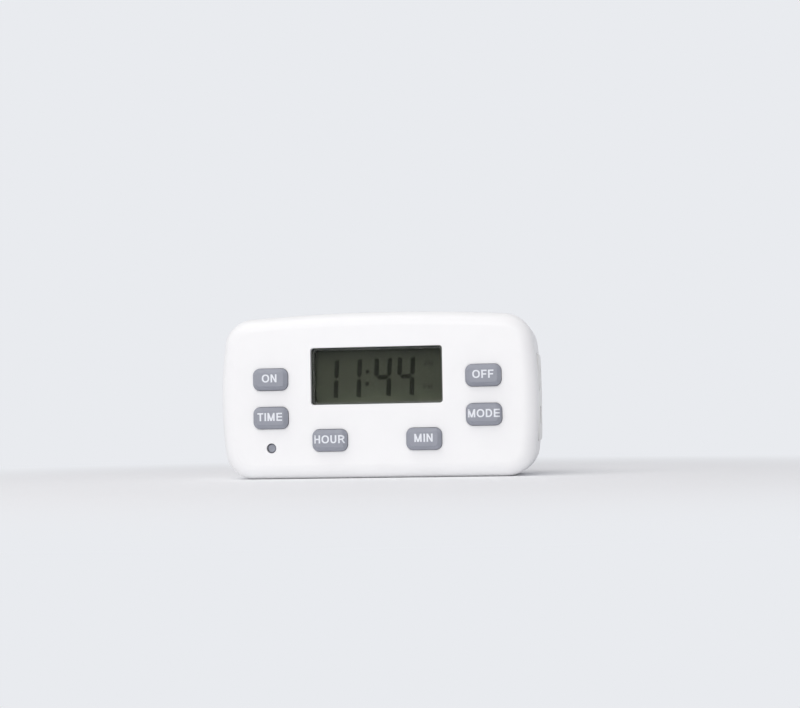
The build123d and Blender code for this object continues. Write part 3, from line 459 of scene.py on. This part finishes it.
def circuit_board():
    """Green lacquer over copper tracks."""
    finish, tree, output = new_finish("green_lacquered_board")
    place = add(tree, "ShaderNodeTexCoord")
    face_on = add(tree, "ShaderNodeMapping", {
        "Vector": place.outputs["Object"], "Rotation": (math.radians(90), 0, 0),
    })
    tracks = add(tree, "ShaderNodeTexBrick", {
        "Vector": face_on.outputs["Vector"], "Scale": per_metre(1.0),
        "Mortar Size": TRACK_EDGE_MM, "Brick Width": TRACK_LENGTH_MM, "Row Height": TRACK_PITCH_MM,
        "Color1": linear("#3A8A52"), "Color2": linear("#2F7C47"), "Mortar": linear("#1F5F36"),
    }, offset=TRACK_STAGGER, squash=LONGER_TRACKS, squash_frequency=LONGER_EVERY)
    bump = add(tree, "ShaderNodeBump", {
        "Height": tracks.outputs["Fac"], "Strength": 1.0, "Distance": LACQUER_STEP_MM * MM,
    }, invert=True)
    shader = add(tree, "ShaderNodeBsdfPrincipled", {
        "Base Color": tracks.outputs["Color"], "Roughness": 0.3, "IOR": 1.52,
        "Normal": bump.outputs["Normal"],
    })
    tree.links.new(shader.outputs[0], output.inputs["Surface"])
    return finish


print("Tracks are", round(TRACK_PITCH_MM - 2 * TRACK_EDGE_MM, 2), "mm wide")

# %% [markdown]
# The display is a sandwich: a clear window, air, then two panes of glass with polarising film, and
# foil behind. The window is polished polycarbonate, so clear that the eye finds it only by the faint
# room in it. It could be plain refracting plastic, but then no lamp would reach the glass behind
# it, since a path tracer stops lamp rays at anything that bends light. So this material lets those
# shadow rays through. Bare plastic would also mirror the bright room and hide the digits, so the
# real window is coated against glare, and here a low IOR does that.

# %% Clear window
CLEAR_TINT = "#F4F6F4"
COATED_IOR = 1.09
POLISH_WAVE_MM = 9.0
POLISH_WAVE_DEPTH_MM = 0.01


def clear_window():
    """Clear polycarbonate with a light polish, open to lamp rays."""
    finish, tree, output = new_finish("clear_polycarbonate")
    place = add(tree, "ShaderNodeTexCoord")
    waves = add(tree, "ShaderNodeTexNoise", {
        "Vector": place.outputs["Object"], "Scale": per_metre(POLISH_WAVE_MM), "Detail": 1.0,
    })
    bump = add(tree, "ShaderNodeBump", {
        "Height": waves.outputs["Fac"], "Strength": 1.0, "Distance": POLISH_WAVE_DEPTH_MM * MM,
    })
    plastic = add(tree, "ShaderNodeBsdfPrincipled", {
        "Base Color": linear(CLEAR_TINT), "Roughness": 0.04, "IOR": COATED_IOR,
        "Transmission Weight": 1.0, "Normal": bump.outputs["Normal"],
    })
    rays = add(tree, "ShaderNodeLightPath")
    opening = add(tree, "ShaderNodeBsdfTransparent", {"Color": linear(CLEAR_TINT)})
    pane = add(tree, "ShaderNodeMixShader", {
        0: rays.outputs["Is Shadow Ray"], 1: plastic.outputs[0], 2: opening.outputs[0],
    })
    tree.links.new(pane.outputs[0], output.inputs["Surface"])
    return finish


print("The window's waves are", POLISH_WAVE_MM, "mm long")

# %% [markdown]
# Unlit, the polarising film makes the glass a dull grey-green. It is darkest under the window's upper
# edge, where little light gets in. The lamps alone don't give that fall-off as strongly as the
# photograph has it, so that shade is painted into the glass's tones by height, from its lower edge
# at 0 to its upper edge at 1, and a slow cloud keeps them from lying in straight bands. What is lit
# in the display is the same glass, painted shade and all, in a deeper tone, so one function makes
# both. A low specular level stands for the coating.

# %% Display glass
# Tones by height, darkest at the top: painted shade under the window's upper edge.
GLASS_TONES_WITH_PAINTED_SHADE = {0.0: "#58594D", 0.2: "#474A40", 0.38: "#404239", 0.69: "#404239", 1.0: "#32342F"}
COATED_SPECULAR = 0.04
CLOUD_MM = 5.0
CLOUD_DETAIL = 3.0
CLOUD_SWAY = 0.12


def display_glass(name, low_z, high_z, shade=1.0):
    """Grey-green display glass, darker towards its top by painted shade, or a mark in it of a deeper
    shade.
    """
    finish, tree, output = new_finish(name)
    where = add(tree, "ShaderNodeTexCoord").outputs["Object"]
    split = add(tree, "ShaderNodeSeparateXYZ", {0: where})
    climb = add(tree, "ShaderNodeMapRange", {
        "Value": split.outputs["Z"], "From Min": low_z, "From Max": high_z,
    })
    cloud = add(tree, "ShaderNodeTexNoise", {
        "Vector": where, "Scale": per_metre(CLOUD_MM), "Detail": CLOUD_DETAIL,
    })
    sway = add(tree, "ShaderNodeMapRange", {
        "Value": cloud.outputs["Fac"], "To Min": -CLOUD_SWAY, "To Max": CLOUD_SWAY,
    })
    level = add(tree, "ShaderNodeMath", {
        0: climb.outputs["Result"], 1: sway.outputs["Result"],
    }, operation="ADD", use_clamp=True)
    tone = add(tree, "ShaderNodeValToRGB", {0: level.outputs[0]})
    stops = tone.color_ramp.elements
    while len(stops) < len(GLASS_TONES_WITH_PAINTED_SHADE):
        stops.new(0.5)
    for stop, (position, colour) in zip(stops, GLASS_TONES_WITH_PAINTED_SHADE.items()):
        stop.position = position
        stop.color = [part * shade for part in linear(colour)[:3]] + [1.0]
    shader = add(tree, "ShaderNodeBsdfPrincipled", {
        "Base Color": tone.outputs[0], "Roughness": 0.3, "IOR": 1.5,
        "Specular IOR Level": COATED_SPECULAR,
    })
    tree.links.new(shader.outputs[0], output.inputs["Surface"])
    return finish


glass_low, glass_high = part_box("lcd_glass")
print("The glass is", round((glass_high.z - glass_low.z) / MM, 1), "mm high")

# %% [markdown]
# The frame's record says for every piece what it is made of, in a slot such as key_rubber. Finishes
# could be given piece by piece, but one loop over the record can't forget any, not even those that
# only show when the housing is open.

# %% Dress every piece of the frame
finishes = {
    **moulded_finishes,
    **metal_finishes,
    "circuit_board": circuit_board(),
    "window_clear": clear_window(),
    "lcd_glass": display_glass("polarised_display_glass", glass_low.z, glass_high.z),
}

for piece in frame["record"]["subparts"]:
    mesh = frame["nodes"][piece["node"]].data
    mesh.materials.clear()
    mesh.materials.append(finishes[piece["material_slot"]])
print("Dressed", len(frame["nodes"]), "pieces in", len(finishes), "finishes")

# %% [markdown]
# The digits are half an inch high and lean a few degrees. Each is made of seven bars, mitred at the
# corners and pointed in the middle, that never quite touch. They could be a painted pattern, but
# real, thin pieces just in front of the glass shift against the window when the view moves, as the
# real ones do. One upright bar is a flat outline and the others are the same outline mirrored. The
# centre bar has its own. Only the bars that a 1 and a 4 need are drawn.

# %% The bars of a digit
DIGIT_HEIGHT = 12.7 * MM
DIGIT_WIDTH = 4.15 * MM
BAR_WIDTH = 1.5 * MM
BAR_GAP = 0.14 * MM
MITRE = 0.35 * MM

top = DIGIT_HEIGHT / 2
middle_line = DIGIT_WIDTH / 2
outer = middle_line + BAR_WIDTH / 2
inner = middle_line - BAR_WIDTH / 2
upper_right = [
    (middle_line, BAR_GAP), (outer, BAR_GAP + BAR_WIDTH / 2), (outer, top - BAR_GAP),
    (inner, top - MITRE - BAR_GAP), (inner, BAR_GAP + BAR_WIDTH / 2),
]
centre_bar = [
    (BAR_GAP - middle_line, 0), (BAR_GAP - inner, BAR_WIDTH / 2),
    (inner - BAR_GAP, BAR_WIDTH / 2), (middle_line - BAR_GAP, 0),
    (inner - BAR_GAP, -BAR_WIDTH / 2), (BAR_GAP - inner, -BAR_WIDTH / 2),
]
BARS = {
    "upper_right": upper_right,
    "lower_right": [(x, -z) for x, z in upper_right],
    "upper_left": [(-x, z) for x, z in upper_right],
    "centre": centre_bar,
}
LIT_BARS = {
    "1": ("upper_right", "lower_right"),
    "4": ("upper_right", "lower_right", "upper_left", "centre"),
}
print("A digit is", round(2 * outer / MM, 1), "mm wide over its bars")

# %% [markdown]
# Digits, marks and printed words are all flat outlines that become thin films. A text or curve object
# could fill them, but where strokes overlap that leaves faces inside the film. A Delaunay fill melts
# overlapping outlines into one area, and its faces, drawn out straight back, close into a film with
# nothing inside. It wants every outline to run the same way round, and its kind of answer number 1
# is the triangles inside the outlines and nothing else.

# %% Outlines as thin pieces
MERGE_WITHIN = 0.0001 * MM
TRIANGLES_INSIDE = 1


def runs_clockwise(outline):
    """Whether an outline of x and z pairs runs clockwise."""
    following = outline[1:] + outline[:1]
    return sum(x0 * z1 - x1 * z0 for (x0, z0), (x1, z1) in zip(outline, following)) < 0


def flat_outlines(outlines, middle):
    """Faces that look to the front, from outlines that may touch or overlap: those melt together."""
    corners, loops = [], []
    for outline in outlines:
        loops.append(list(range(len(corners), len(corners) + len(outline))))
        turned = reversed(outline) if runs_clockwise(outline) else outline
        corners += [Vector(point) for point in turned]
    filled = delaunay_2d_cdt(corners, [], loops, TRIANGLES_INSIDE, MERGE_WITHIN)
    points, _, faces, _, _, sources = filled
    shape = bmesh.new()
    spots = [shape.verts.new(middle + Vector((x, 0, z))) for x, z in points]
    for face, inside in zip(faces, sources):
        if inside:
            shape.faces.new([spots[index] for index in face])
    unused = [spot for spot in shape.verts if not spot.link_faces]
    bmesh.ops.delete(shape, geom=unused, context="VERTS")
    return shape


def block(middle_x, middle_z, width, height):
    """A level rectangle around a point."""
    left, low = middle_x - width / 2, middle_z - height / 2
    return [(left, low), (left + width, low), (left + width, low + height), (left, low + height)]


def thin_piece(name, shape, thickness):
    """Turns the faces into a thin closed piece that reaches back from them."""
    solid = bmesh.ops.extrude_face_region(shape, geom=shape.faces[:])
    moved = [part for part in solid["geom"] if isinstance(part, bmesh.types.BMVert)]
    bmesh.ops.translate(shape, vec=(0, thickness, 0), verts=moved)
    bmesh.ops.recalc_face_normals(shape, faces=shape.faces)
    mesh = bpy.data.meshes.new(name)
    shape.to_mesh(mesh)
    shape.free()
    piece = bpy.data.objects.new(name, mesh)
    bpy.context.scene.collection.objects.link(piece)
    return piece


print("Corners closer than", round(MERGE_WITHIN / MM, 4), "mm are one")

# %% [markdown]
# In the real display the liquid crystal lies between the panes. Here its film lies a hair in front of
# them, where it can be seen without cutting the glass. A lit bar isn't black: it lets a share of the
# glass's tone through, a quarter for the digits and a little more for the colon. The whole row runs
# up to the right by a degree, because the display sits a little askew in its frame.

# %% Show eleven forty-four
FILM_THICKNESS = 0.05 * MM
FILM_LIFT = 0.02 * MM
DIGITS_BELOW_MIDDLE = 0.55 * MM
DIGIT_LEAN = math.tan(math.radians(3.0))
ROW_TILT = math.tan(math.radians(1.1))
DIGIT_PLACES_MM = {-15.75: "1", -8.3: "1", 1.4: "4", 8.9: "4"}
COLON_X = -3.6 * MM
COLON_SPREAD = 1.95 * MM
COLON_DOT = 1.2 * MM
DIGIT_SHADE = 0.25
COLON_SHADE = 0.30

film_middle = Vector((
    window_middle.x,
    glass_low.y - FILM_LIFT - FILM_THICKNESS,
    window_middle.z - DIGITS_BELOW_MIDDLE,
))


def show_on_display(name, outlines, shade):
    """A film in front of the glass, in its tones but darker, that leans like the digits."""
    leaning = [[(x + z * DIGIT_LEAN, z + x * ROW_TILT) for x, z in outline] for outline in outlines]
    film = thin_piece(name, flat_outlines(leaning, film_middle), FILM_THICKNESS)
    finish = display_glass(name + "_crystal", glass_low.z, glass_high.z, shade)
    film.data.materials.append(finish)
    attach(film, "housing")


digit_bars = [
    [(x + centre_mm * MM, z) for x, z in BARS[bar]]
    for centre_mm, digit in DIGIT_PLACES_MM.items() for bar in LIT_BARS[digit]
]
colon_dots = [block(COLON_X, z, COLON_DOT, COLON_DOT) for z in (-COLON_SPREAD, COLON_SPREAD)]
show_on_display("display_digits", digit_bars, DIGIT_SHADE)
show_on_display("display_colon", colon_dots, COLON_SHADE)
film_gap = round((glass_low.y - film_middle.y) / MM, 2)
print(len(digit_bars), "bars lit,", film_gap, "mm in front of the glass")

# %% [markdown]
# Each key says what it does in white capitals, printed on the rubber. The words are ordinary function
# words of every such timer. They could be set in Blender's own font, but that is lighter and
# rounder than the plain grotesque on the keys, and it tears when it is made bolder. So each letter
# is a few strokes, in shares of the type size: how high a capital is, how thick its stems and its
# level arms are, how far a stem stands in from the left, and how high the middle arm of an E or an
# H lies. Round parts are squarish ovals, and in a D, P or R the curve takes a little over half of
# the width. Strokes may overlap, because the outlines melt together.

# %% Strokes of a letter
CAP = 0.74
STEM = 0.15
ARM = 0.13
SIDE = 0.08
WAIST = 0.31
BOWL_SHARE = 0.58
CURVE_STEPS = 12
SQUARENESS = 2.3


def upright(left):
    """A stem of full height."""
    return [(left, 0), (left + STEM, 0), (left + STEM, CAP), (left, CAP)]


def arm(low, left, right):
    """A level stroke."""
    return [(left, low), (right, low), (right, low + ARM), (left, low + ARM)]


def slant(left_below, left_above, high=CAP):
    """A sloping stroke from the ground line up."""
    return [(left_below, 0), (left_below + STEM, 0), (left_above + STEM, high), (left_above, high)]


def bend(left, right, low, high, start, end):
    """Part of a squarish oval ring between two angles in degrees, as a row of four-cornered faces."""
    middle_x, middle_z = (left + right) / 2, (low + high) / 2
    reach_x, reach_z = (right - left) / 2, (high - low) / 2
    inside, outside = [], []
    for step in range(CURVE_STEPS + 1):
        angle = math.radians(start + (end - start) * step / CURVE_STEPS)
        along = math.copysign(abs(math.cos(angle)) ** (2 / SQUARENESS), math.cos(angle))
        up = math.copysign(abs(math.sin(angle)) ** (2 / SQUARENESS), math.sin(angle))
        outside.append((middle_x + reach_x * along, middle_z + reach_z * up))
        inside.append((middle_x + (reach_x - STEM) * along, middle_z + (reach_z - ARM) * up))
    return [[outside[i], outside[i + 1], inside[i + 1], inside[i]] for i in range(CURVE_STEPS)]


def bowl(left, right, low):
    """The round part of a D, P or R, up to the cap line: two arms and half an oval."""
    turn = right - (right - left) * BOWL_SHARE
    half_oval = bend(2 * turn - right, right, low, CAP, -90, 90)
    return half_oval + [arm(low, left, turn), arm(CAP - ARM, left, turn)]


print("A stem is", round(STEM / CAP, 2), "of a capital's height")

# %% [markdown]
# A table holds the letters: how wide each is set, as in an ordinary grotesque, and its strokes. The
# second stem of an H, N or U stands at one place, that of the wider M at another, and the sloping
# strokes of A and M meet halfway.

# %% The letters
U_TURN = 0.29
FAR_STEM = 0.642 - STEM
WIDE_STEM = 0.753 - STEM
M_DIP = (SIDE + WIDE_STEM) / 2
A_PEAK = (0.667 - STEM) / 2

LETTERS = {
    "A": (0.667, [slant(0, A_PEAK), slant(2 * A_PEAK, A_PEAK), arm(0.18, 0.1, 0.567)]),
    "D": (0.722, [upright(SIDE)] + bowl(SIDE, 0.665, 0)),
    "E": (0.667, [upright(SIDE)] + [arm(low, SIDE, 0.61) for low in (0, WAIST, CAP - ARM)]),
    "F": (0.611, [upright(SIDE), arm(WAIST - 0.02, SIDE, 0.53), arm(CAP - ARM, SIDE, 0.575)]),
    "H": (0.722, [upright(SIDE), upright(FAR_STEM), arm(WAIST, SIDE, FAR_STEM)]),
    "I": (0.278, [upright(SIDE)]),
    "M": (0.833, [
        upright(SIDE), upright(WIDE_STEM), slant(M_DIP, SIDE), slant(M_DIP, WIDE_STEM),
    ]),
    "N": (0.722, [upright(SIDE), upright(FAR_STEM), slant(FAR_STEM, SIDE)]),
    "O": (0.778, bend(0.04, 0.738, 0, CAP, 0, 180) + bend(0.04, 0.738, 0, CAP, 180, 360)),
    "P": (0.667, [upright(SIDE)] + bowl(SIDE, 0.62, 0.27)),
    "R": (0.722, [upright(SIDE)] + bowl(SIDE, 0.645, 0.29) + [slant(0.56, 0.35, 0.35)]),
    "T": (0.611, [upright(0.305 - STEM / 2), arm(CAP - ARM, 0.02, 0.59)]),
    "U": (0.722, bend(SIDE, 0.642, 0, 2 * U_TURN, 180, 360) + [
        [(left, U_TURN), (left + STEM, U_TURN), (left + STEM, CAP), (left, CAP)]
        for left in (SIDE, FAR_STEM)
    ]),
}


def word_outlines(word, em):
    """The strokes of a word, set letter by letter at a type size and centred."""
    outlines, pen = [], 0.0
    for letter in word:
        width, strokes = LETTERS[letter]
        outlines += [[(x + pen, z) for x, z in stroke] for stroke in strokes]
        pen += width
    return [[((x - pen / 2) * em, (z - CAP / 2) * em) for x, z in outline] for outline in outlines]


print(len(LETTERS), "letters drawn")

# %% [markdown]
# To the right of the digits the glass faintly shows two marks that aren't lit, as every liquid
# crystal does when it is looked at from the side: AM and PM. They could be left out, but then the
# digits would seem to sit too far to the left. They are films like the digits, nearer to the tone of
# the glass.

# %% Marks that aren't lit
MARK_EM = 2.2 * MM
MARK_SHADE = 0.58
MARK_X = 16.1 * MM
MARKS = {"AM": 3.9 * MM, "PM": -3.5 * MM}

marks = [
    [(x + MARK_X, z + height) for x, z in outline]
    for word, height in MARKS.items() for outline in word_outlines(word, MARK_EM)
]
show_on_display("display_marks", marks, MARK_SHADE)
print("Unlit marks:", ", ".join(MARKS))

# %% [markdown]
# The words are printed with a soft rubber pad: a thin, even, slightly blue-white ink that covers well
# and shines a little less than the rubber. The longer words run over the key's sloping edge, and a
# flat word would float there when the key is looked at from the side. So each word is first cut into
# narrow strips near the key's ends, and then every corner is dropped onto the key, straight back.
# Half of the film's thickness lies in the rubber, so that no gap opens under it between corners.

# %% Print the words
LEGENDS = {
    "on_key": "ON",
    "off_key": "OFF",
    "time_key": "TIME",
    "mode_key": "MODE",
    "hour_key": "HOUR",
    "minute_key": "MIN",
}
LEGEND_EM = 3.48 * MM
LEGEND_SHIFT = Vector((0, 0, 0.32)) * MM
INK_THICKNESS = 0.03 * MM
INK_PROUD = 0.015 * MM
DROP_FROM = 5.0 * MM
EDGE_ZONE = 3.0 * MM
EDGE_STEP = 0.1 * MM

ink = moulded("white_pad_print", "#EEF0F6", "#E2E5EC", 0.45, 0.40, 0.003, 1.48, 0.8)


def cut_into_strips(shape, middle, reach):
    """Cuts the faces upright, every step inward from both ends of a key."""
    for step in range(int(EDGE_ZONE / EDGE_STEP)):
        for side in (-1, 1):
            cut = Vector((middle.x + side * (reach - step * EDGE_STEP), middle.y, middle.z))
            everything = shape.verts[:] + shape.edges[:] + shape.faces[:]
            bmesh.ops.bisect_plane(
                shape, geom=everything, plane_co=cut, plane_no=(1, 0, 0), dist=MERGE_WITHIN,
            )


def print_legend(key, word):
    """Prints a word near the middle of a key, bent back where it runs over the sloping edge."""
    key_low, key_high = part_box(key)
    middle = (key_low + key_high) / 2 + LEGEND_SHIFT
    middle.y = key_low.y
    shape = flat_outlines(word_outlines(word, LEGEND_EM), middle)
    cut_into_strips(shape, middle, (key_high.x - key_low.x) / 2)
    depsgraph = bpy.context.evaluated_depsgraph_get()
    key_surface = BVHTree.FromObject(frame["nodes"][key], depsgraph)
    for corner in shape.verts:
        start = Vector((corner.co.x, key_low.y - DROP_FROM, corner.co.z))
        hit = key_surface.ray_cast(start, Vector((0, 1, 0)))[0]
        corner.co.y = hit.y - INK_PROUD
    legend = thin_piece("legend_" + word.lower(), shape, INK_THICKNESS)
    legend.data.materials.append(ink)
    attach(legend, key)


for key, word in LEGENDS.items():
    print_legend(key, word)
print("Printed", len(LEGENDS), "words")
